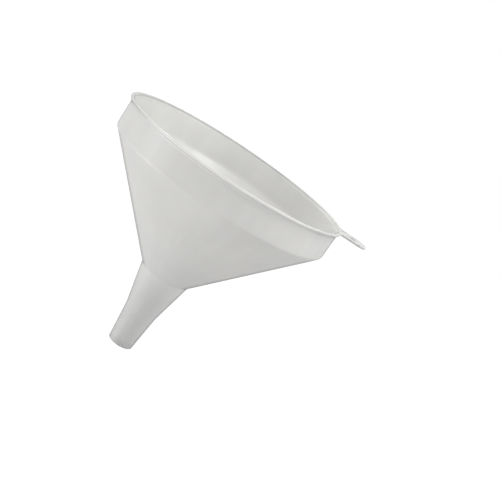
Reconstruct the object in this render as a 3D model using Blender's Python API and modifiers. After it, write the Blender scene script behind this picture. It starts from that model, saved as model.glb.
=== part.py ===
"""Conical plastic filter funnel, with the loose perforated plate and filter paper that it holds.

Metres, +Z up. The origin is the middle of the bottom of the object's box, level with the stem's outlet.
The hanging tab points along +X and lengthens the box, so the funnel's axis stands a little behind the origin.
"""

import math

import bmesh
import bpy

# Funnel body, outside. Heights are above the stem's outlet.
HEIGHT = 0.1841
RIM_RADIUS = 0.1000
LIP_FLARE = 0.0020
LIP_EDGE_HEIGHT = 0.0012
LIP_HEIGHT = 0.0036
BAND_HEIGHT = 0.0250
NECK_HEIGHT = 0.0724
NECK_RADIUS = 0.0224
STEM_KINK_HEIGHT = 0.0335
STEM_KINK_RADIUS = 0.0142
OUTLET_RADIUS = 0.0109
BAND_WALL = 0.0020
CONE_WALL = 0.0016

# Rounding of the lip's edges, and radii of the bends on the outside of the wall
LIP_ROUNDING = 0.0006
LIP_BEND = 0.0012
LIP_ROOT_FILLET = 0.0030
BAND_FILLET = 0.0040
NECK_FILLET = 0.0030

# Hanging tab
TAB_REACH = 0.0240
TAB_WIDTH = 0.0200
TAB_THICKNESS = 0.0020
TAB_BELOW_RIM = 0.0001
TAB_ROOT_FILLET = 0.0040
TAB_ROOT_RADIUS = 0.0990
TAB_HOLE_RADIUS = 0.0035
TAB_HOLE_FROM_AXIS = 0.1105

# Loose pieces inside
GAP = 0.0003
PLATE_RADIUS = 0.0475
PLATE_THICKNESS = 0.0040
PLATE_HOLE_RADIUS = 0.0015
PLATE_RING_PITCH = 0.0090
PLATE_RINGS = 4
HOLES_IN_FIRST_RING = 6
PAPER_RADIUS = 0.0450
PAPER_THICKNESS = 0.0004

# Facets
TURN_STEPS = 72
ARC_STEP = math.radians(22.5)
TAB_TIP_STEPS = 12
TAB_ROOT_STEPS = 4
TAB_HOLE_STEPS = 20
PLATE_HOLE_STEPS = 12
MERGE_DISTANCE = 1e-5
SHARP_ANGLE = math.radians(35)

BAND_RADIUS = RIM_RADIUS - LIP_FLARE
AXIS_X = -TAB_REACH / 2


# Collections and materials


def clear_scene():
    for obj in list(bpy.data.objects):
        bpy.data.objects.remove(obj, do_unlink=True)


def new_collection(name):
    collection = bpy.data.collections.new(name)
    bpy.context.scene.collection.children.link(collection)
    return collection


def plastic(name, colour, roughness, transmission):
    material = bpy.data.materials.new(name)
    material.use_nodes = True
    shader = material.node_tree.nodes["Principled BSDF"]
    shader.inputs["Base Color"].default_value = (*colour, 1.0)
    shader.inputs["Metallic"].default_value = 0.0
    shader.inputs["Roughness"].default_value = roughness
    shader.inputs["Transmission Weight"].default_value = transmission
    return material


# Outlines. A point is (radius from the axis, height).


def unit(start, end):
    length = math.hypot(end[0] - start[0], end[1] - start[1])
    return (end[0] - start[0]) / length, (end[1] - start[1]) / length


def arc_at(before, corner, after, radius):
    """The corner, or the arc of this radius that rounds it."""
    if radius <= 0:
        return [corner]
    back = unit(corner, before)
    ahead = unit(corner, after)
    cosine = back[0] * ahead[0] + back[1] * ahead[1]
    opening = math.acos(max(-1.0, min(1.0, cosine)))
    middle = unit((0, 0), (back[0] + ahead[0], back[1] + ahead[1]))
    to_centre = radius / math.sin(opening / 2)
    centre = (corner[0] + middle[0] * to_centre, corner[1] + middle[1] * to_centre)
    to_tangent = radius / math.tan(opening / 2)
    first = (corner[0] + back[0] * to_tangent, corner[1] + back[1] * to_tangent)
    start = math.atan2(first[1] - centre[1], first[0] - centre[0])
    cross = back[0] * ahead[1] - back[1] * ahead[0]
    sweep = math.copysign(math.pi - opening, -cross)
    steps = math.ceil(round(abs(sweep) / ARC_STEP, 6))
    angles = [start + sweep * step / steps for step in range(steps + 1)]
    return [(centre[0] + radius * math.cos(a), centre[1] + radius * math.sin(a)) for a in angles]


def rounded_loop(corners):
    """A closed outline through corners of (radius, height, fillet), with each corner rounded."""
    points = []
    for index, (r, z, fillet) in enumerate(corners):
        before = corners[index - 1][:2]
        after = corners[(index + 1) % len(corners)][:2]
        points += arc_at(before, (r, z), after, fillet)
    return points


def wall_line():
    """The outer side of the wall, from the rim down to the outlet, without the lip's upright edge."""
    return [
        (RIM_RADIUS, HEIGHT),
        (BAND_RADIUS, HEIGHT - LIP_HEIGHT),
        (BAND_RADIUS, HEIGHT - BAND_HEIGHT),
        (NECK_RADIUS, NECK_HEIGHT),
        (STEM_KINK_RADIUS, STEM_KINK_HEIGHT),
        (OUTLET_RADIUS, 0.0),
    ]


def inner_line():
    """The inner side of the wall: each stretch of the outer side moved in by its own thickness."""
    outer = wall_line()
    walls = [BAND_WALL, BAND_WALL, CONE_WALL, CONE_WALL, CONE_WALL]
    moved = []
    for start, end, wall in zip(outer, outer[1:], walls):
        along = unit(start, end)
        moved.append(((start[0] + along[1] * wall, start[1] - along[0] * wall), along))

    def at_height(line, z):
        (r0, z0), (dr, dz) = line
        return r0 + dr * (z - z0) / dz, z

    def crossing(first, second):
        (r0, z0), (dr0, dz0) = first
        (r1, z1), (dr1, dz1) = second
        reach = ((r1 - r0) * dz1 - (z1 - z0) * dr1) / (dr0 * dz1 - dz0 * dr1)
        return r0 + dr0 * reach, z0 + dz0 * reach

    middle = [crossing(a, b) for a, b in zip(moved, moved[1:])]
    return [at_height(moved[0], outer[0][1]), *middle, at_height(moved[-1], outer[-1][1])]


def cone_inner_radius(z):
    """Radius of the cone's inner face at this height."""
    top, bottom = inner_line()[2:4]
    return bottom[0] + (top[0] - bottom[0]) * (z - bottom[1]) / (top[1] - bottom[1])


def cone_slope():
    """How much the cone's radius grows for each unit of height."""
    top, bottom = wall_line()[2:4]
    return (top[0] - bottom[0]) / (top[1] - bottom[1])


def body_profile():
    """The wall's section, down the outside and up the inside."""
    outer = wall_line()
    inner = inner_line()
    corners = [
        (RIM_RADIUS, HEIGHT, LIP_ROUNDING),
        (RIM_RADIUS, HEIGHT - LIP_EDGE_HEIGHT, LIP_BEND),
        (*outer[1], LIP_ROOT_FILLET),
        (*outer[2], BAND_FILLET),
        (*outer[3], NECK_FILLET),
        (*outer[4], 0.0),
        (*outer[5], 0.0),
        (*inner[5], 0.0),
        (*inner[4], 0.0),
        (*inner[3], NECK_FILLET + CONE_WALL),
        (*inner[2], BAND_FILLET - BAND_WALL),
        (*inner[1], LIP_ROOT_FILLET + BAND_WALL),
        (*inner[0], LIP_ROUNDING),
    ]
    return rounded_loop(corners)


# Objects


def place(name, mesh, material, collection, parent, location):
    obj = bpy.data.objects.new(name, mesh)
    obj.parent = parent
    obj.location = location
    mesh.materials.append(material)
    collection.objects.link(obj)
    return obj


def outline_mesh(name, points, closed):
    """A wire in the XZ plane for a Screw modifier."""
    mesh = bpy.data.meshes.new(name)
    edges = [(i, i + 1) for i in range(len(points) - 1)]
    if closed:
        edges.append((len(points) - 1, 0))
    mesh.from_pydata([(r, 0.0, z) for r, z in points], edges, [])
    return mesh


def turn(obj):
    screw = obj.modifiers.new("turn", "SCREW")
    screw.axis = "Z"
    screw.angle = 2 * math.pi
    screw.steps = TURN_STEPS
    screw.render_steps = TURN_STEPS
    screw.use_merge_vertices = True
    screw.merge_threshold = MERGE_DISTANCE


def cut_or_join(obj, other, operation):
    boolean = obj.modifiers.new(other.name, "BOOLEAN")
    boolean.operation = operation
    boolean.solver = "EXACT"
    boolean.object = other


def as_helper(obj):
    obj.hide_render = True
    obj.display_type = "WIRE"


def shade(obj):
    """Smooth shading, kept sharp at real edges, on the mesh that the modifiers make."""
    graph = bpy.context.evaluated_depsgraph_get()
    mesh = bpy.data.meshes.new_from_object(obj.evaluated_get(graph))
    obj.modifiers.clear()
    obj.data = mesh
    mesh.shade_smooth()
    mesh.set_sharp_from_angle(angle=SHARP_ANGLE)


def tab_half_outline():
    """One side of the tab, from inside the lip out to the middle of its rounded tip."""
    half = TAB_WIDTH / 2
    centre_y = half + TAB_ROOT_FILLET
    centre_x = math.sqrt((RIM_RADIUS + TAB_ROOT_FILLET) ** 2 - centre_y**2)
    towards_axis = math.atan2(-centre_y, -centre_x)
    root = [(math.sqrt(TAB_ROOT_RADIUS**2 - centre_y**2), centre_y)]
    for step in range(TAB_ROOT_STEPS + 1):
        angle = towards_axis + (-math.pi / 2 - towards_axis) * step / TAB_ROOT_STEPS
        x = centre_x + TAB_ROOT_FILLET * math.cos(angle)
        root.append((x, centre_y + TAB_ROOT_FILLET * math.sin(angle)))
    tip_x = RIM_RADIUS + TAB_REACH - half
    tip = []
    for step in range(TAB_TIP_STEPS // 2 + 1):
        angle = math.pi / 2 - math.pi / 2 * step / (TAB_TIP_STEPS // 2)
        tip.append((tip_x + half * math.cos(angle), half * math.sin(angle)))
    return root + tip


def tab_solid(collection, parent):
    """The flat tongue with its hole. Its root lies inside the lip."""
    side = tab_half_outline()
    outline = side + [(x, -y) for x, y in reversed(side[:-1])]
    hole = []
    for step in range(TAB_HOLE_STEPS):
        angle = 2 * math.pi * step / TAB_HOLE_STEPS
        x = TAB_HOLE_FROM_AXIS + TAB_HOLE_RADIUS * math.cos(angle)
        hole.append((x, TAB_HOLE_RADIUS * math.sin(angle)))
    curve = bpy.data.curves.new("tab_outline", "CURVE")
    curve.dimensions = "2D"
    curve.fill_mode = "BOTH"
    curve.extrude = TAB_THICKNESS / 2
    for points in (outline, hole):
        spline = curve.splines.new("POLY")
        spline.points.add(len(points) - 1)
        spline.use_cyclic_u = True
        for point, (x, y) in zip(spline.points, points):
            point.co = (x, y, 0.0, 1.0)
    drawn = bpy.data.objects.new("tab_outline", curve)
    collection.objects.link(drawn)
    graph = bpy.context.evaluated_depsgraph_get()
    mesh = bpy.data.meshes.new_from_object(drawn.evaluated_get(graph))
    bpy.data.objects.remove(drawn, do_unlink=True)
    welded = bmesh.new()
    welded.from_mesh(mesh)
    bmesh.ops.remove_doubles(welded, verts=welded.verts, dist=MERGE_DISTANCE)
    bmesh.ops.recalc_face_normals(welded, faces=welded.faces)
    welded.to_mesh(mesh)
    welded.free()
    obj = bpy.data.objects.new("tab_solid", mesh)
    obj.parent = parent
    obj.location = (0.0, 0.0, HEIGHT - TAB_BELOW_RIM - TAB_THICKNESS / 2)
    collection.objects.link(obj)
    as_helper(obj)
    return obj


def funnel_body(collection, cutters, parent):
    material = plastic("natural_polypropylene", (0.80, 0.80, 0.77), 0.35, 0.25)
    mesh = outline_mesh("funnel_body", body_profile(), closed=True)
    obj = place("funnel_body", mesh, material, collection, parent, (0.0, 0.0, 0.0))
    turn(obj)
    cut_or_join(obj, tab_solid(cutters, parent), "UNION")
    return obj


def plate_seat_height():
    """Height of the plate's top face, where its edge is one gap clear of the cone."""
    slope = cone_slope()
    radius_at_wall = PLATE_RADIUS + GAP * math.hypot(1, slope)
    neck = inner_line()[3]
    return neck[1] + (radius_at_wall - cone_inner_radius(neck[1])) / slope


def plate_holes(collection, parent):
    """Cutter for the round holes: one in the middle, then rings that each hold one more set than the last."""
    spots = [(0.0, 0.0)]
    for ring in range(1, PLATE_RINGS + 1):
        count = HOLES_IN_FIRST_RING * ring
        for index in range(count):
            angle = 2 * math.pi * index / count
            radius = ring * PLATE_RING_PITCH
            spots.append((radius * math.cos(angle), radius * math.sin(angle)))
    holes = bmesh.new()
    for x, y in spots:
        made = bmesh.ops.create_cone(
            holes,
            cap_ends=True,
            segments=PLATE_HOLE_STEPS,
            radius1=PLATE_HOLE_RADIUS,
            radius2=PLATE_HOLE_RADIUS,
            depth=2 * PLATE_THICKNESS,
        )
        bmesh.ops.translate(holes, verts=made["verts"], vec=(x, y, -PLATE_THICKNESS / 2))
    mesh = bpy.data.meshes.new("plate_holes")
    holes.to_mesh(mesh)
    holes.free()
    obj = bpy.data.objects.new("plate_holes", mesh)
    obj.parent = parent
    collection.objects.link(obj)
    as_helper(obj)
    return obj


def perforated_plate(collection, cutters, parent, top_height):
    """A disc whose bevelled edge matches the cone, drilled in rings."""
    material = plastic("plate_polypropylene", (0.86, 0.86, 0.84), 0.45, 0.0)
    low_radius = PLATE_RADIUS - PLATE_THICKNESS * cone_slope()
    profile = [
        (0.0, 0.0),
        (PLATE_RADIUS, 0.0),
        (low_radius, -PLATE_THICKNESS),
        (0.0, -PLATE_THICKNESS),
    ]
    mesh = outline_mesh("perforated_plate", profile, closed=False)
    obj = place("perforated_plate", mesh, material, collection, parent, (0.0, 0.0, top_height))
    turn(obj)
    cutter = plate_holes(cutters, parent)
    cutter.location = obj.location
    cut_or_join(obj, cutter, "DIFFERENCE")
    return obj


def filter_paper(collection, parent, bottom_height):
    material = plastic("filter_paper", (0.92, 0.92, 0.89), 0.9, 0.0)
    profile = [(0.0, PAPER_THICKNESS), (PAPER_RADIUS, PAPER_THICKNESS), (PAPER_RADIUS, 0.0), (0.0, 0.0)]
    mesh = outline_mesh("filter_paper", profile, closed=False)
    obj = place("filter_paper", mesh, material, collection, parent, (0.0, 0.0, bottom_height))
    turn(obj)
    return obj


def main():
    clear_scene()
    parts = new_collection("buchner_funnel")
    cutters = new_collection("cutters")
    axis = bpy.data.objects.new("funnel_axis", None)
    axis.location = (AXIS_X, 0.0, 0.0)
    parts.objects.link(axis)
    plate_top = plate_seat_height()
    made = [
        funnel_body(parts, cutters, axis),
        perforated_plate(parts, cutters, axis, plate_top),
        filter_paper(parts, axis, plate_top + GAP),
    ]
    bpy.context.view_layer.update()
    for obj in made:
        shade(obj)


main()
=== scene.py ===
"""The looks of a milky polypropylene filter funnel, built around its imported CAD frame.

The funnel is turned again with fine fillets and a rounded hanging tab. Its loose perforated plate is drilled
with countersunk holes, and its filter paper is a slightly cockled disc. Metres, +Z up the funnel's axis.
"""

import math

import bmesh
import bpy
from mathutils import Matrix, Vector, noise

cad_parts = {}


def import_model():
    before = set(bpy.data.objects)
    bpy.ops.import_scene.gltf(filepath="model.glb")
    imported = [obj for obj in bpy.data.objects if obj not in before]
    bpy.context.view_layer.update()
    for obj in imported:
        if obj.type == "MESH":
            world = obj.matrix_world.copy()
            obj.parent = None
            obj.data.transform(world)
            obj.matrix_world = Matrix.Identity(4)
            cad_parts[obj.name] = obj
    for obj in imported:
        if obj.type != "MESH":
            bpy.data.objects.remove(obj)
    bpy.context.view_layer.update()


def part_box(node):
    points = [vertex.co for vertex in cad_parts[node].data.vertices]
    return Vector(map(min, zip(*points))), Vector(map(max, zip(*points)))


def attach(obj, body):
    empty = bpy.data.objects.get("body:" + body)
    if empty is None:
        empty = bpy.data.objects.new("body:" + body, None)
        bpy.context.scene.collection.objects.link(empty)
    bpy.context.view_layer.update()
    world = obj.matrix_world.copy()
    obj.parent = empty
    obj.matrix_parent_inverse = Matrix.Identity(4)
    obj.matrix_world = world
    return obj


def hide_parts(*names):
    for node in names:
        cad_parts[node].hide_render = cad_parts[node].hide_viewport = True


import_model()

# Places and sizes that the frame gives
BODY_LOW, BODY_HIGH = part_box("funnel_body")
PLATE_LOW, PLATE_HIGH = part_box("perforated_plate")
PAPER_LOW, PAPER_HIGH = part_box("filter_paper")
RIM_RADIUS = (BODY_HIGH.y - BODY_LOW.y) / 2
AXIS_X = BODY_LOW.x + RIM_RADIUS
HEIGHT = BODY_HIGH.z
TAB_REACH = BODY_HIGH.x - AXIS_X - RIM_RADIUS
PLATE_RADIUS = (PLATE_HIGH.y - PLATE_LOW.y) / 2
PLATE_THICKNESS = PLATE_HIGH.z - PLATE_LOW.z
PAPER_RADIUS = (PAPER_HIGH.y - PAPER_LOW.y) / 2
PAPER_THICKNESS = PAPER_HIGH.z - PAPER_LOW.z

# The funnel's wall. A pair is (radius, height).
BAND_WALL = 0.0020
CONE_WALL = 0.0016
LIP_FLARE = 0.0020
BAND_RADIUS = RIM_RADIUS - LIP_FLARE
BAND_HEIGHT = 0.0250
LIP_EDGE_HEIGHT = 0.0012
LIP_HEIGHT = 0.0036
NECK = (0.0224, 0.0724)
STEM_KINK = (0.0142, 0.0335)
OUTLET_RADIUS = 0.0109
LIP_ROUNDING = 0.0006
LIP_BEND = 0.0012
LIP_ROOT_FILLET = 0.0030
BAND_FILLET = 0.0040
BAND_INNER_FILLET = 0.0060
NECK_FILLET = 0.0030
KINK_FILLET = 0.0200
OUTLET_ROUNDING = 0.0004

# The hanging tab
TAB_WIDTH = 0.0200
TAB_THICKNESS = 0.0020
TAB_BELOW_RIM = 0.0001
TAB_ROUNDING = 0.0007
TAB_ROOT_FILLET = 0.0040
TAB_ROOT_RADIUS = 0.0990
TAB_HOLE_RADIUS = 0.0035
TAB_HOLE_FROM_AXIS = 0.1105

# The plate's holes and edge
HOLE_RADIUS = 0.0015
HOLE_CHAMFER = 0.0004
RING_PITCH = 0.0090
RINGS = 4
HOLES_IN_FIRST_RING = 6
PLATE_EDGE_ROUNDING = 0.0003

# The paper
PAPER_COCKLE = 0.00012
PAPER_WAVES_PER_METRE = 60
PAPER_EDGE_ROUNDING = PAPER_THICKNESS * 0.3

# The milky plastic: how deep light soaks into it, and how thick an outline looks
MILKY_COLOUR = (0.750, 0.748, 0.734)
POLYPROPYLENE_IOR = 1.49
SOAK_DEPTH = 0.0014
STEM_SOAK_DEPTH = 0.0045
STEM_SOAK_HEIGHTS = (NECK[1] - 0.0200, NECK[1])
EDGE_DEPTH = 0.0016
EDGE_BEGINS = 0.15

# Its gloss, and the shares of it that the lip and the stem keep
GLOSS = 0.45
OUTLINE_GLOSS = 0.08
LIP_GLOSS_SHARE = 0.1
STEM_GLOSS_SHARE = 0.35
GRAZING = (0.60, 0.90)
DULL_LIP_HEIGHTS = (HEIGHT - 0.0018, HEIGHT - 0.0008)
DULL_STEM_HEIGHTS = (NECK[1] - 0.0040, NECK[1] + 0.0040)

# Factors of its colour: painted shade along outlines, on the lip's top edge, inside the flare, on the tab,
# down the stem and at the outlet, and painted light under the flare's near side
OUTLINE_PAINTED_SHADE = 0.45
LIP_FAR_PAINTED_SHADE = 0.70
LIP_NEAR_PAINTED_SHADE = 0.94
LIP_TAB_END_PAINTED_SHADE = 0.80
TAB_PAINTED_SHADE = 0.80
STEM_PAINTED_SHADE = 0.93
OUTLET_PAINTED_SHADE = 0.88
FLARE_INSIDE_PAINTED_SHADE = 0.95
FLARE_UNDERSIDE_PAINTED_LIGHT = 1.35

# Where one painted light or shade gives way to the next: a place, a radius, a height or a slope of the
# surface
NEAR_SIDE_Y = (-0.80 * RIM_RADIUS, -0.55 * RIM_RADIUS)
TAB_END_X = (0.3 * RIM_RADIUS, 0.9 * RIM_RADIUS)
FLARE_TONE_HEIGHTS = (HEIGHT - 0.0048, HEIGHT - 0.0032)
EDGE_TONE_HEIGHTS = (HEIGHT - 0.0020, HEIGHT - 0.0010)
TAB_TONE_RADII = (RIM_RADIUS + 0.0004, RIM_RADIUS + 0.0012)
OUTLET_TONE_HEIGHTS = (0.0, 0.0070)
NEAR_EDGE_SLOPES = (-0.5, 0.0)
UNDERSIDE_SLOPES = (-0.6, -0.2)
INSIDE_TO_OUTSIDE = (-0.02, 0.02)

# The loose pieces' colours, and the pitch of the plate's turning marks
PLATE_COLOUR = (0.63, 0.63, 0.615)
PAPER_COLOUR = (0.72, 0.72, 0.690)
TURNING_PITCH = 0.0008

# Mesh fineness
BODY_STEPS = 256
PLATE_STEPS = 192
PAPER_STEPS = 144
PLATE_HOLE_STEPS = 24
TAB_HOLE_STEPS = 40
TAB_ROOT_STEPS = 8
TAB_TIP_STEPS = 18
TAB_BEVEL_STEPS = 4
LONGEST_STEP = 0.0040
ARC_STEP = math.radians(7.5)
SHARP_ANGLE = math.radians(35.0)
TAB_SHARP_ANGLE = math.radians(80.0)
SAME_PLACE = 1e-6

# Camera, in rim radii from the centre of the rim's top, on the side from which the tab points to the right
CAMERA_AZIMUTH = math.radians(-90.0)
CAMERA_OUT = 6.797
CAMERA_UP = 0.974
AIM_RIGHT = 0.471
AIM_UP = -0.553
CAMERA_ROLL = math.radians(34.5)
LENS_MM = 61.2
SENSOR_MM = 36.0

# Stage
LIGHT_AIM_BELOW_RIM = 0.6 * RIM_RADIUS
SURROUND_FILL = 0.50
FLOOR_HALF_WIDTH = 6.0
FLOOR_HEIGHT = -0.0005
FLOOR_GREY = 0.60
FLOOR_GLOW = 1.06
FLOOR_GLOW_SHARE = 0.95


# Outlines. A point is (radius from the axis, height).


def unit(start, end):
    length = math.hypot(end[0] - start[0], end[1] - start[1])
    return (end[0] - start[0]) / length, (end[1] - start[1]) / length


def arc_at(before, corner, after, radius):
    """The corner, or the arc of this radius that rounds it."""
    if radius <= 0:
        return [corner]
    back = unit(corner, before)
    ahead = unit(corner, after)
    opening = math.acos(max(-1.0, min(1.0, back[0] * ahead[0] + back[1] * ahead[1])))
    middle = unit((0, 0), (back[0] + ahead[0], back[1] + ahead[1]))
    to_centre = radius / math.sin(opening / 2)
    centre = (corner[0] + middle[0] * to_centre, corner[1] + middle[1] * to_centre)
    to_tangent = radius / math.tan(opening / 2)
    first = (corner[0] + back[0] * to_tangent, corner[1] + back[1] * to_tangent)
    start = math.atan2(first[1] - centre[1], first[0] - centre[0])
    cross = back[0] * ahead[1] - back[1] * ahead[0]
    sweep = math.copysign(math.pi - opening, -cross)
    steps = max(2, math.ceil(abs(sweep) / ARC_STEP))
    angles = [start + sweep * step / steps for step in range(steps + 1)]
    return [(centre[0] + radius * math.cos(a), centre[1] + radius * math.sin(a)) for a in angles]


def rounded_line(corners, closed):
    """The line through (radius, height, fillet) corners, each corner rounded and long straights divided."""
    points = []
    for index, (r, z, fillet) in enumerate(corners):
        at_end = index in (0, len(corners) - 1) and not closed
        before = corners[index - 1][:2]
        after = corners[(index + 1) % len(corners)][:2]
        points += [(r, z)] if at_end else arc_at(before, (r, z), after, fillet)
    divided = []
    followers = points[1:] + (points[:1] if closed else [])
    for start, end in zip(points, followers):
        across = end[0] - start[0]
        rise = end[1] - start[1]
        pieces = max(1, math.ceil(math.dist(start, end) / LONGEST_STEP))
        for piece in range(pieces):
            share = piece / pieces
            divided.append((start[0] + across * share, start[1] + rise * share))
    return divided if closed else divided + points[-1:]


def wall_line():
    """The outer side of the wall, from the rim down to the outlet, without the lip's upright edge."""
    return [
        (RIM_RADIUS, HEIGHT),
        (BAND_RADIUS, HEIGHT - LIP_HEIGHT),
        (BAND_RADIUS, HEIGHT - BAND_HEIGHT),
        NECK,
        STEM_KINK,
        (OUTLET_RADIUS, 0.0),
    ]


def inner_line():
    """The inner side of the wall: each stretch of the outer side moved in by its own thickness."""
    outer = wall_line()
    walls = [BAND_WALL, BAND_WALL, CONE_WALL, CONE_WALL, CONE_WALL]
    moved = []
    for start, end, wall in zip(outer, outer[1:], walls):
        along = unit(start, end)
        moved.append(((start[0] + along[1] * wall, start[1] - along[0] * wall), along))

    def at_height(line, z):
        (r0, z0), (dr, dz) = line
        return r0 + dr * (z - z0) / dz, z

    def crossing(first, second):
        (r0, z0), (dr0, dz0) = first
        (r1, z1), (dr1, dz1) = second
        reach = ((r1 - r0) * dz1 - (z1 - z0) * dr1) / (dr0 * dz1 - dz0 * dr1)
        return r0 + dr0 * reach, z0 + dz0 * reach

    middle = [crossing(a, b) for a, b in zip(moved, moved[1:])]
    return [at_height(moved[0], outer[0][1]), *middle, at_height(moved[-1], outer[-1][1])]


def body_profile():
    """The wall's section, down the outside and up the inside."""
    outer = wall_line()
    inner = inner_line()
    corners = [
        (RIM_RADIUS, HEIGHT, LIP_ROUNDING),
        (RIM_RADIUS, HEIGHT - LIP_EDGE_HEIGHT, LIP_BEND),
        (*outer[1], LIP_ROOT_FILLET),
        (*outer[2], BAND_FILLET),
        (*outer[3], NECK_FILLET),
        (*outer[4], KINK_FILLET),
        (*outer[5], OUTLET_ROUNDING),
        (*inner[5], OUTLET_ROUNDING),
        (*inner[4], KINK_FILLET),
        (*inner[3], NECK_FILLET + CONE_WALL),
        (*inner[2], BAND_INNER_FILLET),
        (*inner[1], LIP_ROOT_FILLET + BAND_WALL),
        (*inner[0], LIP_ROUNDING),
    ]
    return rounded_line(corners, closed=True)


# Mesh work


def turned_mesh(name, profile, closed, steps):
    """The profile turned about Z. An open profile starts and ends on the axis."""
    bm = bmesh.new()
    rings = []
    for r, z in profile:
        if r < SAME_PLACE:
            rings.append([bm.verts.new((0.0, 0.0, z))])
            continue
        angles = (2 * math.pi * step / steps for step in range(steps))
        rings.append([bm.verts.new((r * math.cos(a), r * math.sin(a), z)) for a in angles])
    pairs = list(zip(rings, rings[1:]))
    if closed:
        pairs.append((rings[-1], rings[0]))
    for upper, lower in pairs:
        for step in range(steps):
            after = (step + 1) % steps
            if len(upper) == 1:
                bm.faces.new((upper[0], lower[step], lower[after]))
            elif len(lower) == 1:
                bm.faces.new((upper[after], upper[step], lower[0]))
            else:
                bm.faces.new((upper[after], upper[step], lower[step], lower[after]))
    bmesh.ops.recalc_face_normals(bm, faces=bm.faces)
    mesh = bpy.data.meshes.new(name)
    bm.to_mesh(mesh)
    bm.free()
    return mesh


def add_object(name, mesh, z=0.0):
    """An object whose origin is on the funnel's axis."""
    obj = bpy.data.objects.new(name, mesh)
    obj.location = (AXIS_X, 0.0, z)
    bpy.context.scene.collection.objects.link(obj)
    return obj


def apply_boolean(obj, other, operation):
    boolean = obj.modifiers.new("boolean", "BOOLEAN")
    boolean.operation = operation
    boolean.solver = "MANIFOLD"
    boolean.object = other
    bpy.context.view_layer.update()
    graph = bpy.context.evaluated_depsgraph_get()
    mesh = bpy.data.meshes.new_from_object(obj.evaluated_get(graph))
    obj.modifiers.clear()
    obj.data = mesh
    bpy.data.objects.remove(other, do_unlink=True)


def tab_outline():
    """Outline of the tab, flared where it leaves the lip and round at its tip."""
    half = TAB_WIDTH / 2
    centre_y = half + TAB_ROOT_FILLET
    centre_x = math.sqrt((RIM_RADIUS + TAB_ROOT_FILLET) ** 2 - centre_y**2)
    towards_axis = math.atan2(-centre_y, -centre_x)
    side = [(math.sqrt(TAB_ROOT_RADIUS**2 - centre_y**2), centre_y)]
    for step in range(TAB_ROOT_STEPS + 1):
        angle = towards_axis + (-math.pi / 2 - towards_axis) * step / TAB_ROOT_STEPS
        x = centre_x + TAB_ROOT_FILLET * math.cos(angle)
        side.append((x, centre_y + TAB_ROOT_FILLET * math.sin(angle)))
    tip_x = RIM_RADIUS + TAB_REACH - half
    for step in range(TAB_TIP_STEPS + 1):
        angle = math.pi / 2 * (1 - step / TAB_TIP_STEPS)
        side.append((tip_x + half * math.cos(angle), half * math.sin(angle)))
    return side + [(x, -y) for x, y in reversed(side[:-1])]


def tab_mesh():
    """A flat tongue with a round hole, its edges softly rounded, ending inside the lip."""
    hole = []
    for step in range(TAB_HOLE_STEPS):
        angle = 2 * math.pi * step / TAB_HOLE_STEPS
        x = TAB_HOLE_FROM_AXIS + TAB_HOLE_RADIUS * math.cos(angle)
        hole.append((x, TAB_HOLE_RADIUS * math.sin(angle)))
    bm = bmesh.new()
    edges = []
    for loop in (tab_outline(), hole):
        corners = [bm.verts.new((x, y, -TAB_THICKNESS / 2)) for x, y in loop]
        for index, corner in enumerate(corners):
            edges.append(bm.edges.new((corner, corners[(index + 1) % len(corners)])))
    filled = bmesh.ops.triangle_fill(bm, edges=edges, use_beauty=True, use_dissolve=False)
    faces = [item for item in filled["geom"] if isinstance(item, bmesh.types.BMFace)]
    raised = bmesh.ops.extrude_face_region(bm, geom=faces, use_keep_orig=True)
    top = [item for item in raised["geom"] if isinstance(item, bmesh.types.BMVert)]
    bmesh.ops.translate(bm, verts=top, vec=(0.0, 0.0, TAB_THICKNESS))
    bmesh.ops.recalc_face_normals(bm, faces=bm.faces)
    rims = [edge for edge in bm.edges if edge.calc_face_angle(0.0) > TAB_SHARP_ANGLE]
    rims = [edge for edge in rims if abs(edge.verts[0].co.z - edge.verts[1].co.z) < SAME_PLACE]
    bmesh.ops.bevel(
        bm, geom=rims, offset=TAB_ROUNDING, segments=TAB_BEVEL_STEPS, profile=0.5, affect="EDGES"
    )
    mesh = bpy.data.meshes.new("tab")
    bm.to_mesh(mesh)
    bm.free()
    return mesh


# Materials


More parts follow.
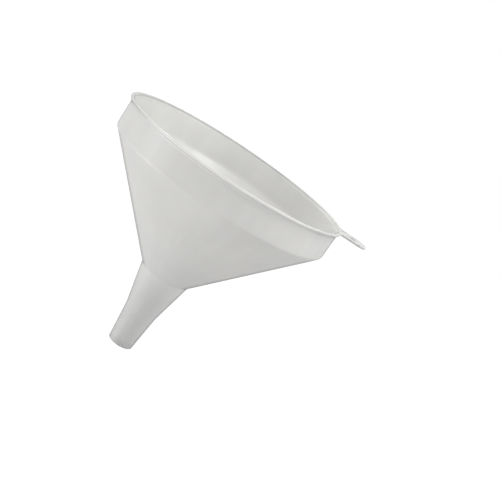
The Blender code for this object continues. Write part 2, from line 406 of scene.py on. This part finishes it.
class Nodes:
    """A short way to build one material's node tree."""

    def __init__(self, name):
        self.material = bpy.data.materials.new(name)
        self.material.use_nodes = True
        self.tree = self.material.node_tree
        self.tree.nodes.clear()

    def add(self, kind, inputs=None, **settings):
        node = self.tree.nodes.new(kind)
        for key, value in settings.items():
            setattr(node, key, value)
        for key, value in (inputs or {}).items():
            if isinstance(value, bpy.types.NodeSocket):
                self.tree.links.new(value, node.inputs[key])
            else:
                node.inputs[key].default_value = value
        return node

    def object_place(self):
        return self.add("ShaderNodeTexCoord").outputs["Object"]

    def split(self, vector):
        """The vector's x, y and z."""
        return self.add("ShaderNodeSeparateXYZ", {0: vector}).outputs

    def facing(self):
        """0 on a surface that faces the camera, 1 on one seen edge on."""
        return self.add("ShaderNodeLayerWeight", {"Blend": 0.5}).outputs["Facing"]

    def math(self, operation, first, second=0.0):
        return self.add("ShaderNodeMath", {0: first, 1: second}, operation=operation).outputs[0]

    def product(self, first, second):
        return self.math("MULTIPLY", first, second)

    def mapped(self, value, low, high, to_low, to_high, interpolation="LINEAR"):
        inputs = {"Value": value, "From Min": low, "From Max": high, "To Min": to_low, "To Max": to_high}
        node = self.add("ShaderNodeMapRange", inputs, interpolation_type=interpolation)
        return node.outputs["Result"]

    def rising(self, value, low, high):
        """0 below low, 1 above high, and a straight slope between them."""
        return self.mapped(value, low, high, 0.0, 1.0)

    def mixed(self, share, first, second):
        """The first number where share is 0, the second where it is 1."""
        inputs = {"Factor": share, "A": first, "B": second}
        return self.add("ShaderNodeMix", inputs, data_type="FLOAT").outputs["Result"]

    def noise(self, vector, scale, detail, roughness=0.5):
        inputs = {"Vector": vector, "Scale": scale, "Detail": detail, "Roughness": roughness}
        return self.add("ShaderNodeTexNoise", inputs).outputs["Fac"]

    def spread(self, noise_value, low, high):
        """A noise, which lies mostly between 0.3 and 0.7, spread from low to high."""
        return self.mapped(noise_value, 0.3, 0.7, low, high)

    def toned(self, colour, tone):
        """The colour made lighter or darker by this factor."""
        node = self.add("ShaderNodeVectorMath", {0: colour, "Scale": tone}, operation="SCALE")
        return node.outputs[0]

    def bump(self, height, distance, strength, normal=None):
        inputs = {"Height": height, "Distance": distance, "Strength": strength}
        if normal is not None:
            inputs["Normal"] = normal
        return self.add("ShaderNodeBump", inputs).outputs["Normal"]

    def principled(self, inputs):
        """The finished material, with this one shader."""
        return self.finish(self.add("ShaderNodeBsdfPrincipled", inputs))

    def finish(self, shader):
        self.add("ShaderNodeOutputMaterial", {"Surface": shader.outputs[0]})
        return self.material


def around_and_up(nodes, place, around, up):
    """A vector that changes quickly round the axis and slowly along it, for marks that run up the wall."""
    x, y, z = nodes.split(place)
    flat = nodes.add("ShaderNodeCombineXYZ", {0: x, 1: y}).outputs[0]
    spoke = nodes.add("ShaderNodeVectorMath", {0: flat}, operation="NORMALIZE").outputs[0]
    spoke = nodes.add("ShaderNodeVectorMath", {0: spoke, "Scale": around}, operation="SCALE").outputs[0]
    lift = nodes.add("ShaderNodeCombineXYZ", {2: nodes.product(z, up)}).outputs[0]
    return nodes.add("ShaderNodeVectorMath", {0: spoke, 1: lift}, operation="ADD").outputs[0]


def radius_from_axis(nodes, place):
    x, y, _ = nodes.split(place)
    return nodes.math("SQRT", nodes.math("ADD", nodes.product(x, x), nodes.product(y, y)))


def seen_through(nodes, place, facing):
    """1 where the wall is seen through, 0 at an outline, where it is seen along its own thickness."""
    cosine = nodes.math("SUBTRACT", 1.0, facing)
    limit = nodes.math("SQRT", nodes.math("DIVIDE", 2 * EDGE_DEPTH, radius_from_axis(nodes, place)))
    share = nodes.math("DIVIDE", cosine, limit)
    return nodes.mapped(share, EDGE_BEGINS, 1.0, 0.0, 1.0, interpolation="SMOOTHSTEP")


def painted_light_and_shade(nodes, place):
    """Painted light and shade: darker on the lip's top edge, most along its far side, darker inside the
    flare, on the tab, down the stem and at the outlet, and lighter under the flare's near side.
    """
    x, y, height = nodes.split(place)
    normal = nodes.add("ShaderNodeNewGeometry").outputs["Normal"]
    slope = nodes.split(normal)[2]
    far = nodes.rising(y, *NEAR_SIDE_Y)

    # The lip's top edge: painted light where its near side turns down, faint painted shade along its near
    # side, deeper painted shade along its far side
    near_edge_painted_light_and_shade = nodes.mapped(slope, *NEAR_EDGE_SLOPES, FLARE_UNDERSIDE_PAINTED_LIGHT, LIP_NEAR_PAINTED_SHADE)
    far_edge_painted_shade = nodes.mapped(x, *TAB_END_X, LIP_FAR_PAINTED_SHADE, LIP_TAB_END_PAINTED_SHADE)
    edge = nodes.mixed(far, near_edge_painted_light_and_shade, far_edge_painted_shade)

    # The flare: painted light under its near side, painted shade on its inside
    underside_painted_light = nodes.mapped(slope, *UNDERSIDE_SLOPES, FLARE_UNDERSIDE_PAINTED_LIGHT, 1.0)
    outside = nodes.mixed(far, underside_painted_light, 1.0)
    outwards = nodes.add("ShaderNodeVectorMath", {0: normal, 1: place}, operation="DOT_PRODUCT")
    side = nodes.mapped(outwards.outputs["Value"], *INSIDE_TO_OUTSIDE, FLARE_INSIDE_PAINTED_SHADE, outside)

    flare = nodes.mixed(nodes.rising(height, *FLARE_TONE_HEIGHTS), 1.0, side)
    lip = nodes.mixed(nodes.rising(height, *EDGE_TONE_HEIGHTS), flare, edge)
    # Painted shade on the tab
    rim = nodes.mixed(nodes.rising(radius_from_axis(nodes, place), *TAB_TONE_RADII), lip, TAB_PAINTED_SHADE)
    # Painted shade: the stem darker towards the outlet, and darker still at the outlet's end
    stem = nodes.mapped(height, 0.0, NECK[1], STEM_PAINTED_SHADE, 1.0)
    outlet = nodes.mapped(height, *OUTLET_TONE_HEIGHTS, OUTLET_PAINTED_SHADE, 1.0)
    return nodes.product(rim, nodes.product(stem, outlet))


def part_gloss(nodes, height, facing, through):
    """The gloss fades towards outlines, and the lip and the stem are duller than the cone."""
    gloss = nodes.mapped(through, 0.0, 1.0, OUTLINE_GLOSS, GLOSS)
    gloss = nodes.product(gloss, nodes.mapped(facing, *GRAZING, 1.0, 0.0))
    gloss = nodes.product(gloss, nodes.mapped(height, *DULL_STEM_HEIGHTS, STEM_GLOSS_SHARE, 1.0))
    return nodes.product(gloss, nodes.mapped(height, *DULL_LIP_HEIGHTS, 1.0, LIP_GLOSS_SHARE))


def milky_plastic():
    """Natural polypropylene: light soaks into the wall, with painted shade where the wall is seen on edge
    and painted light and shade on its parts.
    """
    nodes = Nodes("natural_polypropylene")
    place = nodes.object_place()
    height = nodes.split(place)[2]
    facing = nodes.facing()
    through = seen_through(nodes, place, facing)
    clouds = nodes.spread(nodes.noise(place, 22.0, 3.0), 0.975, 1.025)
    flow = nodes.spread(nodes.noise(around_and_up(nodes, place, 9.0, 14.0), 1.0, 4.0), 0.985, 1.015)
    # Painted shade along outlines, and the parts' painted light and shade, over the plastic's random mottle
    edge = nodes.mapped(through, 0.0, 1.0, OUTLINE_PAINTED_SHADE, 1.0)
    tone = nodes.product(nodes.product(clouds, flow), nodes.product(edge, painted_light_and_shade(nodes, place)))
    waves = nodes.bump(nodes.noise(place, 55.0, 2.0), 0.0006, 0.35)
    grain = nodes.bump(nodes.noise(place, 1400.0, 2.0), 0.00006, 0.35, waves)
    return nodes.principled(
        {
            "Base Color": nodes.toned(MILKY_COLOUR, tone),
            "Roughness": nodes.spread(nodes.noise(place, 160.0, 4.0), 0.29, 0.35),
            "IOR": POLYPROPYLENE_IOR,
            "Specular IOR Level": part_gloss(nodes, height, facing, through),
            "Subsurface Weight": 1.0,
            "Subsurface Radius": (1.0, 0.98, 0.94),
            "Subsurface Scale": nodes.mapped(height, *STEM_SOAK_HEIGHTS, STEM_SOAK_DEPTH, SOAK_DEPTH),
            "Normal": grain,
        }
    )


def white_plastic():
    """Satin white polypropylene of the perforated plate, with faint turning marks on its faces."""
    nodes = Nodes("plate_polypropylene")
    place = nodes.object_place()
    clouds = nodes.spread(nodes.noise(place, 60.0, 3.0), 0.96, 1.03)
    radius = radius_from_axis(nodes, place)
    turning = nodes.math("SINE", nodes.product(radius, 2 * math.pi / TURNING_PITCH))
    marks = nodes.bump(turning, 0.00002, 0.5)
    grain = nodes.bump(nodes.noise(place, 1800.0, 2.0), 0.00005, 0.4, marks)
    return nodes.principled(
        {
            "Base Color": nodes.toned(PLATE_COLOUR, clouds),
            "Roughness": nodes.spread(nodes.noise(place, 220.0, 3.0), 0.40, 0.52),
            "IOR": POLYPROPYLENE_IOR,
            "Specular IOR Level": 0.35,
            "Subsurface Weight": 0.4,
            "Subsurface Radius": (1.0, 0.97, 0.92),
            "Subsurface Scale": 0.002,
            "Normal": grain,
        }
    )


def cellulose():
    """Unglazed filter paper: matted short fibres and a faint cloudy formation."""
    nodes = Nodes("filter_paper")
    place = nodes.object_place()
    formation = nodes.spread(nodes.noise(place, 320.0, 4.0, 0.65), 0.95, 1.02)
    cells = {"Vector": place, "Scale": 1100.0}
    fibres = nodes.add("ShaderNodeTexVoronoi", cells, feature="DISTANCE_TO_EDGE").outputs["Distance"]
    swirl = nodes.noise(place, 260.0, 2.0)
    height = nodes.math("ADD", nodes.product(fibres, 0.6), swirl)
    return nodes.principled(
        {
            "Base Color": nodes.toned(PAPER_COLOUR, formation),
            "Roughness": 0.92,
            "Specular IOR Level": 0.25,
            "Sheen Weight": 0.15,
            "Sheen Roughness": 0.6,
            "Normal": nodes.bump(height, 0.00012, 0.6),
        }
    )


# Pieces


def finish_surface(obj, material):
    """Smooth shading between sharp edges, and the piece's own material."""
    obj.data.shade_smooth()
    obj.data.set_sharp_from_angle(angle=SHARP_ANGLE)
    obj.data.materials.clear()
    obj.data.materials.append(material)


def funnel_body():
    mesh = turned_mesh("funnel_body_fine", body_profile(), closed=True, steps=BODY_STEPS)
    obj = add_object("funnel_body_fine", mesh)
    tab = add_object("tab", tab_mesh(), HEIGHT - TAB_BELOW_RIM - TAB_THICKNESS / 2)
    apply_boolean(obj, tab, "UNION")
    finish_surface(obj, milky_plastic())
    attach(obj, "funnel")
    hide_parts("funnel_body")


def cone_slope():
    return (BAND_RADIUS - NECK[0]) / (HEIGHT - BAND_HEIGHT - NECK[1])


def hole_cutter():
    """The plate's holes as one mesh, each countersunk at both faces."""
    reach = 0.0010
    wide = HOLE_RADIUS + HOLE_CHAMFER + reach
    profile = [
        (0.0, reach),
        (wide, reach),
        (HOLE_RADIUS, -HOLE_CHAMFER),
        (HOLE_RADIUS, HOLE_CHAMFER - PLATE_THICKNESS),
        (wide, -PLATE_THICKNESS - reach),
        (0.0, -PLATE_THICKNESS - reach),
    ]
    single = turned_mesh("hole", profile, closed=False, steps=PLATE_HOLE_STEPS)
    spots = [(0.0, 0.0)]
    for ring in range(1, RINGS + 1):
        radius = ring * RING_PITCH
        count = HOLES_IN_FIRST_RING * ring
        for index in range(count):
            angle = 2 * math.pi * index / count
            spots.append((radius * math.cos(angle), radius * math.sin(angle)))
    bm = bmesh.new()
    for x, y in spots:
        known = len(bm.verts)
        bm.from_mesh(single)
        bm.verts.ensure_lookup_table()
        bmesh.ops.translate(bm, verts=bm.verts[known:], vec=(x, y, 0.0))
    mesh = bpy.data.meshes.new("holes")
    bm.to_mesh(mesh)
    bm.free()
    return mesh


def perforated_plate():
    low_radius = PLATE_RADIUS - PLATE_THICKNESS * cone_slope()
    corners = [
        (0.0, 0.0, 0.0),
        (PLATE_RADIUS, 0.0, PLATE_EDGE_ROUNDING),
        (low_radius, -PLATE_THICKNESS, PLATE_EDGE_ROUNDING),
        (0.0, -PLATE_THICKNESS, 0.0),
    ]
    profile = rounded_line(corners, closed=False)
    mesh = turned_mesh("perforated_plate_fine", profile, closed=False, steps=PLATE_STEPS)
    obj = add_object("perforated_plate_fine", mesh, PLATE_HIGH.z)
    holes = add_object("holes", hole_cutter(), PLATE_HIGH.z)
    apply_boolean(obj, holes, "DIFFERENCE")
    finish_surface(obj, white_plastic())
    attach(obj, "plate")
    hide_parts("perforated_plate")


def filter_paper():
    """A thin disc that cockles by less than its clearance over the plate."""
    corners = [
        (0.0, PAPER_THICKNESS, 0.0),
        (PAPER_RADIUS, PAPER_THICKNESS, PAPER_EDGE_ROUNDING),
        (PAPER_RADIUS, 0.0, PAPER_EDGE_ROUNDING),
        (0.0, 0.0, 0.0),
    ]
    profile = rounded_line(corners, closed=False)
    mesh = turned_mesh("filter_paper_fine", profile, closed=False, steps=PAPER_STEPS)
    for vertex in mesh.vertices:
        x, y, _ = vertex.co
        wave = noise.noise(Vector((x * PAPER_WAVES_PER_METRE, y * PAPER_WAVES_PER_METRE, 3.0)))
        share = min(1.0, math.hypot(x, y) / PAPER_RADIUS)
        vertex.co.z += PAPER_COCKLE * wave * share
    obj = add_object("filter_paper_fine", mesh, PAPER_LOW.z)
    finish_surface(obj, cellulose())
    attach(obj, "paper")
    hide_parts("filter_paper")


# Stage, light and camera

RIM_CENTRE = Vector((AXIS_X, 0.0, HEIGHT))
TO_CAMERA = Vector((math.cos(CAMERA_AZIMUTH), math.sin(CAMERA_AZIMUTH), 0.0))
TO_RIGHT = Vector((-TO_CAMERA.y, TO_CAMERA.x, 0.0))
UPWARD = Vector((0.0, 0.0, 1.0))


def camera():
    data = bpy.data.cameras.new("camera")
    data.lens = LENS_MM
    data.sensor_width = SENSOR_MM
    obj = bpy.data.objects.new("camera", data)
    bpy.context.scene.collection.objects.link(obj)
    place = RIM_CENTRE + (TO_CAMERA * CAMERA_OUT + UPWARD * CAMERA_UP) * RIM_RADIUS
    aim = RIM_CENTRE + (TO_RIGHT * AIM_RIGHT + UPWARD * AIM_UP) * RIM_RADIUS
    level = (aim - place).to_track_quat("-Z", "Y").to_matrix()
    turn = Matrix.Rotation(CAMERA_ROLL, 3, "Z")
    obj.matrix_world = Matrix.Translation(place) @ (level @ turn).to_4x4()
    bpy.context.scene.camera = obj
    return obj


def softbox(name, view, right, up, near, width, power):
    """A square area light, placed in rim radii along the picture's right, up and towards the camera."""
    data = bpy.data.lights.new(name, "AREA")
    data.shape = "SQUARE"
    data.size = width * RIM_RADIUS
    data.energy = power
    obj = bpy.data.objects.new(name, data)
    bpy.context.scene.collection.objects.link(obj)
    target = RIM_CENTRE - UPWARD * LIGHT_AIM_BELOW_RIM
    turn = view.matrix_world.to_3x3()
    place = target + turn @ Vector((right, up, near)) * RIM_RADIUS
    aimed = (target - place).to_track_quat("-Z", "Y")
    obj.matrix_world = Matrix.Translation(place) @ aimed.to_matrix().to_4x4()


def world():
    """White to the camera, and a soft grey surround to everything else."""
    made = bpy.data.worlds.new("studio")
    made.use_nodes = True
    tree = made.node_tree
    tree.nodes.clear()
    path = tree.nodes.new("ShaderNodeLightPath")
    mix = tree.nodes.new("ShaderNodeMixShader")
    out = tree.nodes.new("ShaderNodeOutputWorld")
    tree.links.new(path.outputs["Is Camera Ray"], mix.inputs[0])
    for slot, strength in ((1, SURROUND_FILL), (2, 1.0)):
        background = tree.nodes.new("ShaderNodeBackground")
        background.inputs["Color"].default_value = (1.0, 1.0, 1.0, 1.0)
        background.inputs["Strength"].default_value = strength
        tree.links.new(background.outputs[0], mix.inputs[slot])
    tree.links.new(mix.outputs[0], out.inputs[0])
    bpy.context.scene.world = made


def floor():
    """A plain white floor just under the outlet. It glows to the camera and shows only a trace of shadow."""
    nodes = Nodes("floor")
    paint = nodes.add("ShaderNodeBsdfDiffuse", {"Color": (FLOOR_GREY, FLOOR_GREY, FLOOR_GREY, 1.0)})
    glow = nodes.add("ShaderNodeEmission", {"Color": (1.0, 1.0, 1.0, 1.0), "Strength": FLOOR_GLOW})
    camera_ray = nodes.add("ShaderNodeLightPath").outputs["Is Camera Ray"]
    share = nodes.product(camera_ray, FLOOR_GLOW_SHARE)
    surface = nodes.add("ShaderNodeMixShader", {0: share, 1: paint.outputs[0], 2: glow.outputs[0]})
    bm = bmesh.new()
    bmesh.ops.create_grid(bm, x_segments=4, y_segments=4, size=FLOOR_HALF_WIDTH)
    mesh = bpy.data.meshes.new("floor")
    bm.to_mesh(mesh)
    bm.free()
    obj = add_object("floor", mesh, FLOOR_HEIGHT)
    mesh.materials.append(nodes.finish(surface))
    obj.visible_shadow = False
    obj.visible_glossy = False


funnel_body()
perforated_plate()
filter_paper()
view = camera()
world()
floor()
softbox("left_front", view, -8.2, 3.0, 3.4, 4.2, 1.25)
softbox("left", view, -8.8, -0.5, 0.8, 4.0, 1.18)
softbox("upper_left", view, -6.0, 8.0, 3.0, 6.0, 0.75)
softbox("right", view, 9.0, -1.0, 2.0, 6.0, 2.20)
softbox("over_mouth", view, 7.6, 5.2, 3.8, 2.8, 2.70)
softbox("behind", view, 0.0, 9.0, -4.0, 6.0, 4.5)
softbox("front", view, 0.0, 0.0, 10.0, 6.0, 1.52)
bpy.context.scene.view_settings.view_transform = "Standard"
